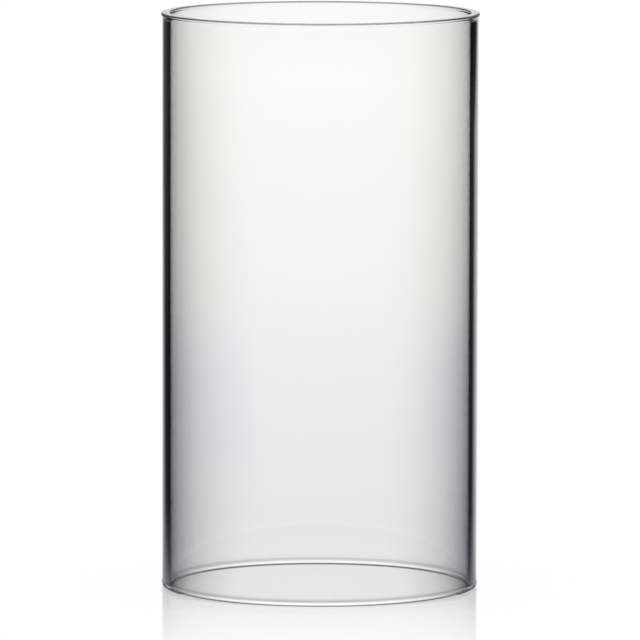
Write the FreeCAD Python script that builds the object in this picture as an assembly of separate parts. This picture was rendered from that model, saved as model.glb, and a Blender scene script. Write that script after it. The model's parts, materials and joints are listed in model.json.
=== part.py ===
"""Open glass cylinder: a straight clear tube, open at both ends, with fire-polished rims.

It is one piece of glass, cut from drawn tube and melted smooth at both ends, so it is one
solid, turned from one section. Millimetres, +Z up along the tube's axis. The origin is on
that axis, in the surface that the cylinder stands on.
"""

import FreeCAD, Part

import math
import os

# Driving dimensions
OUTER_DIAMETER = 109.5  # outside of the straight wall
HEIGHT = 200.0  # from the surface it stands on to the crown of the top rim
WALL = 2.8  # thickness of the straight wall

LIP_BULGE = 0.4  # how far the top rim stands proud of the outside of the wall
LIP_ROUNDING = 0.7  # melted on both edges of the top rim, which stays flat between them
LIP_HOLLOW = 2.0  # eases the top rim's bulge back into the wall

FOOT_BULGE = 0.2
FOOT_ROUNDING = 1.5  # the bottom rim is melted rounder, almost to a half circle
FOOT_HOLLOW = 4.0
FOOT_GRIND = 0.086  # depth ground flat on its crown, so that it stands level

# Sizes that follow from them
OUTER_RADIUS = OUTER_DIAMETER / 2
INNER_RADIUS = OUTER_RADIUS - WALL

UP, DOWN = 1, -1
AXIS_POINT = FreeCAD.Vector(0, 0, 0)
AXIS = FreeCAD.Vector(0, 0, 1)


def section_point(radius, height):
    """A point of the section, at a distance from the axis and a height."""
    return FreeCAD.Vector(radius, 0, height)


def arc(centre, start, end):
    """The shorter arc about centre from start to end."""
    middle = (start + end) * 0.5 - centre
    middle.normalize()
    through = centre + middle * (start - centre).Length
    return Part.Arc(start, through, end).toShape()


def rim(crown_height, towards_wall, bulge, rounding, hollow, grind):
    """One melted rim, from the bore round its crown to the outside of the wall.

    One rounding is tangent to the bore and the other stands proud of the outside by the
    bulge. A flat land at the crown joins them, ground into both roundings by the grind. A
    hollow arc leads from the outer rounding to the wall.
    Returns the rim's edges, and the ends where the bore and the outside of the wall meet it.
    """
    level = crown_height + towards_wall * (rounding - grind)
    half_chord = math.sqrt(rounding**2 - (rounding - grind) ** 2)
    bore_side = section_point(INNER_RADIUS + rounding, level)
    wall_side = section_point(OUTER_RADIUS + bulge - rounding, level)

    # The hollow touches the wall at its own centre's height, and the rounding on the line
    # between the two centres.
    across = OUTER_RADIUS + hollow - wall_side.x
    between_centres = rounding + hollow
    along = math.sqrt(between_centres**2 - across**2)
    hollow_height = level + towards_wall * along
    hollow_centre = section_point(OUTER_RADIUS + hollow, hollow_height)

    bore_end = section_point(INNER_RADIUS, level)
    land_inside = section_point(bore_side.x - half_chord, crown_height)
    land_outside = section_point(wall_side.x + half_chord, crown_height)
    widest = section_point(wall_side.x + rounding, level)
    to_hollow = wall_side + (hollow_centre - wall_side) * (rounding / between_centres)
    wall_end = section_point(OUTER_RADIUS, hollow_height)

    edges = [
        arc(bore_side, bore_end, land_inside),
        Part.makeLine(land_inside, land_outside),
        arc(wall_side, land_outside, widest),
        arc(wall_side, widest, to_hollow),
        arc(hollow_centre, to_hollow, wall_end),
    ]
    return edges, bore_end, wall_end


def glass_cylinder():
    """The whole piece: its section turned once round the axis."""
    foot_edges, foot_bore_end, foot_wall_end = rim(
        0, UP, FOOT_BULGE, FOOT_ROUNDING, FOOT_HOLLOW, FOOT_GRIND
    )
    lip_edges, lip_bore_end, lip_wall_end = rim(HEIGHT, DOWN, LIP_BULGE, LIP_ROUNDING, LIP_HOLLOW, 0)
    bore = Part.makeLine(foot_bore_end, lip_bore_end)
    outside = Part.makeLine(foot_wall_end, lip_wall_end)
    outline = Part.Wire(Part.__sortEdges__(foot_edges + [outside] + lip_edges + [bore]))
    return Part.Face(outline).revolve(AXIS_POINT, AXIS, 360)


os.makedirs("parts", exist_ok=True)
glass_cylinder().exportStep("parts/glass_cylinder.step")
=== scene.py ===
"""Looks of the open glass cylinder: the fire-polished tube, its clear glass, the pale
studio floor, the light and the camera. Metres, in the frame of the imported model."""

import json
import math

import bpy
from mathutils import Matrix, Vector


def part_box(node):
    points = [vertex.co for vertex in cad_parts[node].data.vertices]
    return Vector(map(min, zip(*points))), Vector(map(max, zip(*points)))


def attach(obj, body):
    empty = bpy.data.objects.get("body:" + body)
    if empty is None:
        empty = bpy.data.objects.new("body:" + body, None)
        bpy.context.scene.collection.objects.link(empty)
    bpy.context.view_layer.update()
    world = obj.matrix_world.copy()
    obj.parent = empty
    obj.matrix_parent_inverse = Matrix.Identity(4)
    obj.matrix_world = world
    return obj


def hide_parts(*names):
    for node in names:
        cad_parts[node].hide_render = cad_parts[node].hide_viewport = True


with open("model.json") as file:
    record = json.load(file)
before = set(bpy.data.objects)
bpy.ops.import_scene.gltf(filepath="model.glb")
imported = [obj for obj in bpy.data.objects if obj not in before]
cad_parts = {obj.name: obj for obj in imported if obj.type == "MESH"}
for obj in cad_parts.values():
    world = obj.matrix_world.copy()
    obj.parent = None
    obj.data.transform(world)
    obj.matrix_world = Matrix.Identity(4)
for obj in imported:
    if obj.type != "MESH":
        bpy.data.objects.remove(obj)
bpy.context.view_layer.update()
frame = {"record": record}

# The tube, from the frame
TUBE_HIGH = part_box("glass_cylinder")[1]
MOUNTS = {mount["name"]: mount for mount in frame["record"]["mounts"]}
HEIGHT = TUBE_HIGH[2]
BORE_RADIUS = MOUNTS["bore"]["dims"]["r_mm"] / 1000
LIP_BULGE = 0.0004  # how far the top rim stands proud of the wall
OUTER_RADIUS = TUBE_HIGH[0] - LIP_BULGE

# How finely the tube is made
TURN_STEPS = 512  # round the axis
QUARTER_STEPS = 18  # round a quarter of a rim's bead
PAST_QUARTER_STEPS = 4  # more where the outer bead runs on into its hollow
HOLLOW_STEPS = 6
EDGE_STRIP = 0.0004  # short strip that ends the straight wall at each rim
WALL_STRIPS = 8
SAME_POINT = 1e-6


def select_all():
    bpy.ops.mesh.select_all(action="SELECT")


def spin_point(centre, angle, steps):
    """Draws an arc in the section from the selected point, about centre."""
    bpy.ops.mesh.spin(steps=steps, angle=angle, center=centre, axis=(0, 1, 0))


def pull_point(across, up):
    """Draws a straight line in the section from the selected point."""
    bpy.ops.mesh.extrude_region_move(TRANSFORM_OT_translate={"value": (across, 0, up)})


class Rim:
    """Sizes of one rim: a rounding on each side of a flat land, and a hollow to the wall."""

    def __init__(self, crown, towards_wall, bulge, rounding, hollow, grind):
        level = crown + towards_wall * (rounding - grind)
        half_chord = math.sqrt(rounding**2 - (rounding - grind) ** 2)
        bore_side = BORE_RADIUS + rounding
        wall_side = OUTER_RADIUS + bulge - rounding
        across = OUTER_RADIUS + hollow - wall_side
        rise = math.sqrt((rounding + hollow) ** 2 - across**2)
        self.bore_side = Vector((bore_side, 0, level))
        self.wall_side = Vector((wall_side, 0, level))
        self.hollow = Vector((OUTER_RADIUS + hollow, 0, level + towards_wall * rise))
        self.land = wall_side - bore_side + 2 * half_chord
        self.land_angle = math.acos(half_chord / rounding)
        self.hollow_angle = math.atan2(rise, across)


FOOT = Rim(0.0, 1, bulge=0.0002, rounding=0.0015, hollow=0.004, grind=0.000086)
LIP = Rim(HEIGHT, -1, bulge=LIP_BULGE, rounding=0.0007, hollow=0.002, grind=0.0)


def draw_section():
    """The tube's section as a closed line in the XZ plane, drawn from the foot's bore end."""
    spin_point(FOOT.bore_side, FOOT.land_angle, QUARTER_STEPS)
    pull_point(FOOT.land, 0)
    spin_point(FOOT.wall_side, FOOT.land_angle + FOOT.hollow_angle, QUARTER_STEPS + PAST_QUARTER_STEPS)
    spin_point(FOOT.hollow, -FOOT.hollow_angle, HOLLOW_STEPS)
    pull_wall(LIP.hollow.z - FOOT.hollow.z)
    spin_point(LIP.hollow, -LIP.hollow_angle, HOLLOW_STEPS)
    spin_point(LIP.wall_side, LIP.land_angle + LIP.hollow_angle, QUARTER_STEPS + PAST_QUARTER_STEPS)
    pull_point(-LIP.land, 0)
    spin_point(LIP.bore_side, LIP.land_angle, QUARTER_STEPS)
    pull_wall(FOOT.bore_side.z - LIP.bore_side.z)


def pull_wall(rise):
    """A straight wall in strips, with a short one at each end."""
    direction = math.copysign(1, rise)
    pull_point(0, direction * EDGE_STRIP)
    strip = (rise - direction * 2 * EDGE_STRIP) / WALL_STRIPS
    for _ in range(WALL_STRIPS):
        pull_point(0, strip)
    pull_point(0, direction * EDGE_STRIP)


def make_tube():
    """The glass cylinder: its section drawn from one point, then spun round the axis."""
    bpy.ops.object.select_all(action="DESELECT")
    bpy.ops.mesh.primitive_plane_add(size=0.001, location=(0, 0, 0))  # merged to one point below
    tube = bpy.context.active_object
    tube.name = tube.data.name = "fire_polished_tube"
    bpy.ops.object.mode_set(mode="EDIT")
    select_all()
    bpy.ops.mesh.merge(type="CENTER")
    bpy.ops.transform.translate(value=(BORE_RADIUS, 0, FOOT.bore_side.z))
    draw_section()
    select_all()
    bpy.ops.mesh.remove_doubles(threshold=SAME_POINT)
    select_all()
    bpy.ops.mesh.spin(steps=TURN_STEPS, angle=2 * math.pi, center=(0, 0, 0), axis=(0, 0, 1))
    select_all()
    bpy.ops.mesh.remove_doubles(threshold=SAME_POINT)
    bpy.ops.mesh.normals_make_consistent(inside=False)
    bpy.ops.object.mode_set(mode="OBJECT")
    bpy.ops.object.shade_smooth()
    return tube


class Wiring:
    """Adds shader nodes to one tree and joins them up."""

    def __init__(self, tree):
        self.tree = tree

    def node(self, kind, **settings):
        made = self.tree.nodes.new("ShaderNode" + kind)
        for name, value in settings.items():
            setattr(made, name, value)
        return made

    def join(self, source, socket):
        if hasattr(source, "is_output"):
            self.tree.links.new(source, socket)
        else:
            socket.default_value = source

    def math(self, operation, *values, clamp=False):
        step = self.node("Math", operation=operation, use_clamp=clamp)
        for value, socket in zip(values, step.inputs):
            self.join(value, socket)
        return step.outputs[0]

    def product(self, *values):
        result = values[0]
        for value in values[1:]:
            result = self.math("MULTIPLY", result, value)
        return result

    def choose(self, share, first, second):
        """First where share is 0, second where it is 1."""
        mix = self.node("Mix", data_type="FLOAT")
        for value, number in ((share, 0), (first, 2), (second, 3)):
            self.join(value, mix.inputs[number])
        return mix.outputs[0]

    def ramp(self, value, *stops):
        """Straight steps between (place, level or colour) stops, flat before and after them.

        The node takes places and levels from 0 to 1 only, so both are scaled to that.
        """
        low, high = stops[0][0], stops[-1][0]
        top = max([1.0] + [level for _, level in stops if not isinstance(level, tuple)])
        made = self.node("ValToRGB")
        elements = made.color_ramp.elements
        elements.remove(elements[1])
        for number, (place, level) in enumerate(stops):
            position = (place - low) / (high - low)
            element = elements.new(position) if number else elements[0]
            element.position = position
            colour = level if isinstance(level, tuple) else (level / top,) * 3
            element.color = (*colour, 1)
        share = self.math("DIVIDE", self.math("SUBTRACT", value, low), high - low)
        self.join(share, made.inputs[0])
        return made.outputs[0] if top == 1.0 else self.math("MULTIPLY", made.outputs[0], top)

    def multiply_colours(self, first, second):
        mix = self.node("Mix", data_type="RGBA", blend_type="MULTIPLY")
        for value, number in ((1, 0), (first, 6), (second, 7)):
            self.join(value, mix.inputs[number])
        return mix.outputs[2]

    def add_shaders(self, *shaders):
        whole = shaders[0].outputs[0]
        for shader in shaders[1:]:
            both = self.node("AddShader")
            self.join(whole, both.inputs[0])
            self.join(shader.outputs[0], both.inputs[1])
            whole = both.outputs[0]
        return whole


class RayKind:
    """What a ray has met before it reaches the studio, each answer 0 or 1.

    A wall is two refractions, in and out, so more than two of them mean both walls.
    """

    def __init__(self, wiring):
        path = wiring.node("LightPath")
        self.seen = path.outputs["Is Camera Ray"]
        self.scattered = wiring.math("GREATER_THAN", path.outputs["Diffuse Depth"], 0.5)
        self.reflected = wiring.math("GREATER_THAN", path.outputs["Glossy Depth"], 0.5)
        self.refracted = wiring.math("GREATER_THAN", path.outputs["Transmission Depth"], 0.5)
        self.crossed_bore = wiring.math("GREATER_THAN", path.outputs["Transmission Depth"], 2.5)


GLASS_IOR = 1.47
NO_TINT = (1.0, 1.0, 1.0)
# The edge shade is painted shade, multiplied into the glass's colour
EDGE_TINT = (0.0, 0.02, 0.14)  # what the strongest edge shade leaves of the light


def clear_glass():
    """Clear glass, coloured darker the more slantwise it is looked through: partly the longer path in
    the glass, partly painted shade for its dark edges.
    """
    material = bpy.data.materials.new("clear_glass")
    material.use_nodes = True
    wiring = Wiring(material.node_tree)
    shader = material.node_tree.nodes["Principled BSDF"]
    shader.inputs["Metallic"].default_value = 0
    shader.inputs["Transmission Weight"].default_value = 1
    shader.inputs["IOR"].default_value = GLASS_IOR
    shader.inputs["Roughness"].default_value = 0
    slant = wiring.node("LayerWeight")
    slant.inputs["Blend"].default_value = 0.5
    slant = slant.outputs["Facing"]
    # Partly painted shade: the glass's colour darkens towards its edges far more than its own
    # absorption would
    tint = wiring.ramp(
        slant,
        (0.0, NO_TINT),
        (0.1, (0.996, 0.996, 0.994)),
        (0.2, (0.975, 0.975, 0.968)),
        (0.3, (0.930, 0.930, 0.920)),
        (0.45, (0.870, 0.870, 0.858)),
        (0.6, (0.815, 0.815, 0.804)),
        (0.82, (0.815, 0.815, 0.804)),
        (0.9, (0.660, 0.660, 0.655)),
        (1.0, (0.400, 0.400, 0.400)),
    )
    place = wiring.node("SeparateXYZ")
    wiring.join(wiring.node("TexCoord").outputs["Object"], place.inputs[0])
    height = place.outputs["Z"]
    # Painted shade of the top rim's roundings and of the lower wall, multiplied into the glass's colour
    colour = wiring.multiply_colours(tint, rim_shade(wiring, height))
    colour = wiring.multiply_colours(colour, edge_shade(wiring, slant, height))
    wiring.join(colour, shader.inputs["Base Color"])
    return material


def rim_shade(wiring, height):
    """Painted shade: the melted roundings of the top rim are coloured darker than its flat land and the
    wall.
    """
    below_crown = wiring.math("SUBTRACT", HEIGHT, height)
    return wiring.ramp(
        below_crown, (0.0, 1.0), (0.00003, 1.0), (0.00005, 0.25), (0.0005, 0.25), (0.0006, 1.0),
    )


def edge_shade(wiring, slant, height):
    """Painted shade: low down the wall is coloured darker, and faintly blue, where it is seen
    slantwise, standing in for a dark room low down.
    """
    slanted = wiring.ramp(
        slant,
        (0.1, 0.0), (0.14, 0.02), (0.21, 0.064), (0.305, 0.124), (0.43, 0.21),
        (0.564, 0.36), (0.659, 0.5), (0.863, 0.83), (1.0, 0.95),
    )
    low_down = wiring.ramp(
        wiring.math("DIVIDE", height, HEIGHT),
        (0.028, 0.6), (0.062, 0.74), (0.115, 0.62), (0.184, 0.56), (0.254, 0.46), (0.324, 0.46),
        (0.394, 0.38), (0.464, 0.25), (0.534, 0.16), (0.604, 0.1), (0.72, 0.04), (0.85, 0.0),
    )
    return wiring.ramp(wiring.product(slanted, low_down), (0.0, NO_TINT), (1.0, EDGE_TINT))


MIRROR_SKY = 1.0  # level of the sky as the glossy floor mirrors it
THROUGH_SKY = 1.1  # level of the sky straight through the tube
INSIDE_WALL_SKY = 0.72  # level of the sky for light that both walls have thrown about


def studio_world():
    """White all round to the camera. Light that has met the glass finds the sky dimmer high
    up, and dimmer at both sides, as dark flags beside a studio table would make it."""
    world = bpy.data.worlds.new("studio")
    bpy.context.scene.world = world
    world.use_nodes = True
    wiring = Wiring(world.node_tree)
    ray = RayKind(wiring)
    direction = wiring.node("SeparateXYZ")
    wiring.join(wiring.node("TexCoord").outputs["Generated"], direction.inputs[0])
    up = direction.outputs["Z"]
    aside = wiring.math("ABSOLUTE", direction.outputs["X"])
    ahead = wiring.math("GREATER_THAN", direction.outputs["Y"], 0.0)

    # Through both walls
    overhead = wiring.ramp(up, (0.27, 1.0), (0.42, 0.5), (0.6, 0.25), (0.8, 0.2))
    overhead = wiring.choose(ray.scattered, overhead, 1.0)
    flags = wiring.ramp(aside, (0.06, 1.0), (0.18, 0.15), (0.5, 0.15), (0.62, 1.0))
    flags = wiring.choose(wiring.ramp(up, (0.05, 0.0), (0.08, 1.0)), 1.0, flags)
    flags = wiring.choose(ahead, 1.0, flags)
    through = wiring.choose(ray.crossed_bore, 1.0, wiring.product(overhead, flags, THROUGH_SKY))

    # Mirrored by the floor or the outside of the glass
    mirrored = wiring.product(
        wiring.ramp(up, (0.0, 0.02), (0.01, MIRROR_SKY), (0.3, MIRROR_SKY), (0.5, 0.3)),
        wiring.ramp(aside, (0.06, 1.0), (0.1, 0.55), (0.3, 0.3), (0.5, 0.3), (0.65, 1.0)),
    )
    # Thrown back inside one wall
    inside_wall = wiring.product(
        wiring.ramp(up, (0.16, 0.2), (0.2, 0.9)),
        wiring.ramp(aside, (0.42, 1.0), (0.52, 0.15)),
    )
    thrown = wiring.choose(ray.refracted, mirrored, inside_wall)
    thrown = wiring.choose(ray.crossed_bore, thrown, INSIDE_WALL_SKY)
    level = wiring.choose(ray.reflected, through, thrown)
    background = world.node_tree.nodes["Background"]
    background.inputs["Color"].default_value = (1, 1, 1, 1)
    wiring.join(wiring.choose(ray.seen, level, 1.0), background.inputs["Strength"])


FLOOR_RADIUS = 3.2
FLOOR_DROP = 0.0001  # below the foot, so that the two faces don't fight
FLOOR_SIDES = 96
FLOOR_IOR = 1.6
FLOOR_ROUGHNESS = 0.05
FLOOR_SEEN = 1.015  # level of the floor straight to the camera
LIT_SHARE = 0.1  # share of the floor's white that is lit, and so takes a shadow
FAN_POINT = 0.48  # in front of the axis, where the lines of equal slope meet

# Edges of the painted bright fan behind the tube: width at the axis, and what it gains per metre back
FAN_RIGHT, FAN_RIGHT_GAIN = 0.06, 0.475
FAN_RIGHT_WIDEST = 0.825
FAN_LEFT, FAN_LEFT_GAIN = 0.05, 0.265

# The floor under the front of the foot, painted bright, which shines white in the glass
FOOT_SHINE = 0.9
FOOT_SHINE_RADIUS = 0.06
FOOT_SHINE_ASIDE = 0.048
CONTACT_RADIUS = 0.0535  # in the foot's flat land: contact shade is set inside and outside it

# Tints of the floor's painted light, plain and full. The plain ones are grey, so that the full ones can
# be brighter in one channel, and the light is raised by UNTINTED to make up for it.
COOL_THROUGH = ((0.98, 0.98, 0.98), (0.955, 0.95, 1.0))
COOL_THROWN = ((0.825, 0.825, 0.825), (0.80, 0.79, 1.0))
UNTINTED = COOL_THROUGH[0][0] * COOL_THROWN[0][0]


class FloorPlace:
    """Where a point of the floor lies: across and back from the axis, in metres."""

    def __init__(self, wiring):
        place = wiring.node("TexCoord").outputs["Object"]
        spread = wiring.node("VectorMath", operation="LENGTH")
        wiring.join(place, spread.inputs[0])
        split = wiring.node("SeparateXYZ")
        wiring.join(place, split.inputs[0])
        self.radius = spread.outputs["Value"]
        self.across, self.back = split.outputs["X"], split.outputs["Y"]
        self.aside = wiring.math("ABSOLUTE", self.across)
        self.slope = wiring.math("DIVIDE", self.across, wiring.math("ADD", self.back, FAN_POINT))


def through_both_walls(wiring, place):
    """Painted light and shade: level of the floor seen through the whole tube, painted dimmer near it,
    and on the left.
    """
    painted_light_pool = wiring.ramp(
        place.radius,
        (0.0988, 0.9418), (0.1846, 0.9164), (0.2912, 0.9316), (0.416, 0.9327),
        (0.546, 0.951), (0.832, 0.9927), (1.092, 1.0172), (1.404, 1.0335),
        (1.742, 1.0589), (2.158, 1.0854), (2.47, 1.0691),
    )
    # Painted shade on the floor to the left of the tube, darker further back
    left_side = wiring.ramp(
        wiring.math("MULTIPLY", place.slope, -1.0),
        (0.03, 0.0), (0.05, 0.02), (0.083, 0.042), (0.103, 0.068), (0.15, 0.1),
    )
    left_back = wiring.ramp(place.back, (0.05, 0.0), (0.2, 0.8), (0.6, 1.0), (2.0, 1.0), (2.45, 0.4))
    return wiring.product(painted_light_pool, wiring.math("SUBTRACT", 1.0, wiring.product(left_side, left_back)))


def through_one_wall(wiring, place):
    """Painted shade: level of the floor seen through one wall, painted dark beside the tube for its
    dark edges.
    """
    beside = wiring.ramp(
        place.radius,
        (0.07, 0.92), (0.1, 0.4), (0.36, 0.4), (0.5, 0.5), (0.7, 0.8), (2.25, 0.8), (2.375, 1.0),
    )
    ahead_or_behind = wiring.ramp(
        place.radius, (0.07, 0.92), (0.15, 0.8), (2.25, 0.8), (2.375, 1.0),
    )
    turned = wiring.math("DIVIDE", place.aside, place.radius)
    return wiring.choose(wiring.ramp(turned, (0.7, 0.0), (0.8, 1.0)), ahead_or_behind, beside)


def painted_light_fan(wiring, place):
    """Painted light: the floor behind the tube is painted bright in a fan, which the outside of the
    glass mirrors.
    """
    right_reach = wiring.math("MULTIPLY_ADD", place.back, FAN_RIGHT_GAIN, FAN_RIGHT)
    right_reach = wiring.math("MINIMUM", right_reach, FAN_RIGHT_WIDEST)
    right_edge = wiring.math("DIVIDE", place.across, right_reach)
    right = wiring.ramp(right_edge, (0.8, 1.0), (1.2, 0.05), (1.4, 0.05), (1.6, 0.0))
    left_reach = wiring.math("MULTIPLY_ADD", place.back, -FAN_LEFT_GAIN, -FAN_LEFT)
    left_edge = wiring.math("DIVIDE", place.across, left_reach)
    left_near = wiring.ramp(
        left_edge,
        (0.75, 1.0), (0.945, 0.85), (1.175, 0.55), (1.4125, 0.27), (1.6, 0.07), (1.7, 0.04),
        (2.0, 0.02), (2.5, 0.0),
    )
    left_far = wiring.ramp(
        left_edge,
        (0.75, 1.0), (0.945, 0.5), (1.28, 0.21), (1.5, 0.15), (1.7, 0.12), (2.0, 0.09),
        (2.25, 0.06), (2.5, 0.03),
    )
    far = wiring.ramp(place.back, (0.6, 0.0), (1.6, 1.0))
    ahead = wiring.math("GREATER_THAN", place.back, 0.0)
    return wiring.product(right, wiring.choose(far, left_near, left_far), ahead)


def thrown_by_glass(wiring, place, ray):
    """Painted light and shade: level of the floor for light that the glass throws off its course,
    painted dark but for a bright fan and a shine under the foot.
    """
    dark = wiring.ramp(
        place.radius, (0.0748, 0.045), (0.1606, 0.032), (0.22, 0.012), (0.286, 0.007), (1.32, 0.008),
    )
    painted_shine_under_foot = wiring.product(
        wiring.math("LESS_THAN", place.back, 0.0),
        wiring.math("LESS_THAN", place.radius, FOOT_SHINE_RADIUS),
        wiring.math("LESS_THAN", place.aside, FOOT_SHINE_ASIDE),
    )
    mirrored = wiring.math("ADD", painted_light_fan(wiring, place), dark)
    mirrored = wiring.choose(painted_shine_under_foot, mirrored, FOOT_SHINE)
    both_walls = wiring.ramp(place.radius, (0.22, 0.5), (0.572, 0.55), (0.924, 0.65), (1.32, 0.7))
    thrown = wiring.choose(ray.refracted, mirrored, dark)
    return wiring.choose(ray.crossed_bore, thrown, both_walls)


def contact_shade(wiring, place):
    """Painted contact shadow: what is left of the floor's light close round the foot, seen through the
    glass.
    """
    squares = wiring.math("MULTIPLY", place.across, place.across)
    half_chord = wiring.math("SQRT", wiring.math("SUBTRACT", BORE_RADIUS**2, squares, clamp=True))
    behind_front = wiring.math("ADD", place.back, half_chord)
    inside = wiring.product(
        wiring.ramp(
            behind_front, (0.004, 0.5), (0.006, 0.62), (0.0096, 0.78), (0.015, 0.93), (0.02, 1.0),
        ),
        wiring.ramp(
            place.aside,
            (0.03, 0.98), (0.0345, 0.92), (0.041, 0.83), (0.0452, 0.73), (0.0484, 0.58), (0.0503, 0.47),
        ),
        wiring.ramp(place.radius, (0.0515, 1.0), (0.0525, 0.55)),
    )
    outside = wiring.ramp(place.radius, (0.0635, 0.75), (0.0665, 0.92), (0.08, 1.0))
    past = wiring.math("GREATER_THAN", place.radius, CONTACT_RADIUS)
    return wiring.choose(past, inside, outside)


def painted_cool_light(wiring, place, ray, thrown):
    """Painted cool light from low down at both sides, and in what the glass throws about near it."""
    through = wiring.product(
        wiring.ramp(place.slope, (-0.046, 1.0), (-0.032, 0.0), (0.056, 0.0), (0.088, 1.0)),
        wiring.ramp(place.back, (0.28, 0.0), (0.38, 1.0), (0.6, 1.0), (0.74, 0.6), (0.88, 0.0)),
        ray.crossed_bore,
    )
    near = wiring.product(
        wiring.ramp(place.radius, (0.4, 1.0), (0.7, 0.5), (1.2, 0.25), (1.6, 0.0)),
        wiring.ramp(thrown, (0.0, 0.75), (0.3, 0.35), (1.0, 0.2)),
        ray.reflected,
    )
    tints = []
    for amount, (plain, full) in ((through, COOL_THROUGH), (near, COOL_THROWN)):
        tints.append(wiring.ramp(amount, (0.0, plain), (1.0, full)))
    return wiring.multiply_colours(*tints)


def floor_gloss(wiring, place, ray):
    """Share of the sky that the floor mirrors: polished round the glass, matt further off."""
    fresnel = wiring.node("Fresnel")
    fresnel.inputs["IOR"].default_value = FLOOR_IOR
    polish = wiring.ramp(
        place.radius, (0.065, 0.85), (0.08, 0.6), (0.15, 0.25), (0.25, 0.08), (0.45, 0.0),
    )
    met_glass = wiring.math("ADD", ray.reflected, ray.refracted)
    direct = wiring.math("SUBTRACT", 1.0, met_glass, clamp=True)
    return wiring.product(fresnel.outputs[0], polish, direct)


def white_gloss():
    """The floor's white: mostly its own light, with a lit share that takes the shadow. For light that
    has met the glass, its level is painted light and shade.
    """
    material = bpy.data.materials.new("white_gloss")
    material.use_nodes = True
    tree = material.node_tree
    tree.nodes.clear()
    wiring = Wiring(tree)
    ray = RayKind(wiring)
    place = FloorPlace(wiring)

    # Painted light and shade, seen only through or off the glass
    thrown = thrown_by_glass(wiring, place, ray)
    level = wiring.choose(ray.refracted, 1.0, through_one_wall(wiring, place))
    level = wiring.choose(ray.crossed_bore, level, through_both_walls(wiring, place))
    contact = wiring.choose(ray.refracted, 1.0, contact_shade(wiring, place))
    level = wiring.choose(ray.reflected, wiring.product(level, contact), thrown)
    level = wiring.choose(ray.seen, level, FLOOR_SEEN)

    diffuse = wiring.node("BsdfDiffuse")
    wiring.join(wiring.product(level, LIT_SHARE), diffuse.inputs["Color"])
    gloss = floor_gloss(wiring, place, ray)
    glossy = wiring.node("BsdfGlossy")
    glossy.inputs["Roughness"].default_value = FLOOR_ROUGHNESS
    wiring.join(gloss, glossy.inputs["Color"])
    # The gloss adds the mirrored sky, so the floor's own light gives way to it
    less_sky = wiring.product(gloss, -MIRROR_SKY / UNTINTED)
    own_level = wiring.math("MULTIPLY_ADD", level, (1 - LIT_SHARE) / UNTINTED, less_sky)
    own_level = wiring.math("MAXIMUM", own_level, 0.0)
    own_light = wiring.node("Emission")
    tint = painted_cool_light(wiring, place, ray, thrown)
    wiring.join(wiring.multiply_colours(tint, own_level), own_light.inputs["Color"])

    output = wiring.node("OutputMaterial")
    wiring.join(wiring.add_shaders(diffuse, own_light, glossy), output.inputs["Surface"])
    return material


def studio_floor():
    """A wide white floor with a faint gloss that is strongest round the glass."""
    bpy.ops.object.select_all(action="DESELECT")
    bpy.ops.mesh.primitive_circle_add(
        vertices=FLOOR_SIDES, radius=FLOOR_RADIUS, fill_type="NGON", location=(0, 0, -FLOOR_DROP),
    )
    floor = bpy.context.active_object
    floor.name = floor.data.name = "studio_floor"
    floor.data.materials.append(white_gloss())


CAMERA_PLACE = Vector((0.00004, -2.9448, 0.4184))
CAMERA_AIM = Vector((0.00004, 0, 0.0928))
CAMERA_ROLL = 0.002
LENS, SENSOR = 479.8, 36  # mm
NEAREST, FURTHEST = 0.1, 50


def place_camera():
    """A long lens a little above the cylinder, aimed just below its middle."""
    scene = bpy.context.scene
    camera = bpy.data.objects.new("camera", bpy.data.cameras.new("camera"))
    scene.collection.objects.link(camera)
    scene.camera = camera
    camera.data.sensor_width = SENSOR
    camera.data.lens = LENS
    camera.data.clip_start, camera.data.clip_end = NEAREST, FURTHEST
    camera.location = CAMERA_PLACE
    camera.rotation_euler = (CAMERA_AIM - CAMERA_PLACE).to_track_quat("-Z", "Y").to_euler()
    camera.rotation_euler.rotate_axis("Z", CAMERA_ROLL)


glass_cylinder = make_tube()
glass_cylinder.data.materials.append(clear_glass())
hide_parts("glass_cylinder")
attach(glass_cylinder, "root")

studio_floor()
studio_world()
place_camera()
bpy.context.scene.view_settings.view_transform = "Standard"
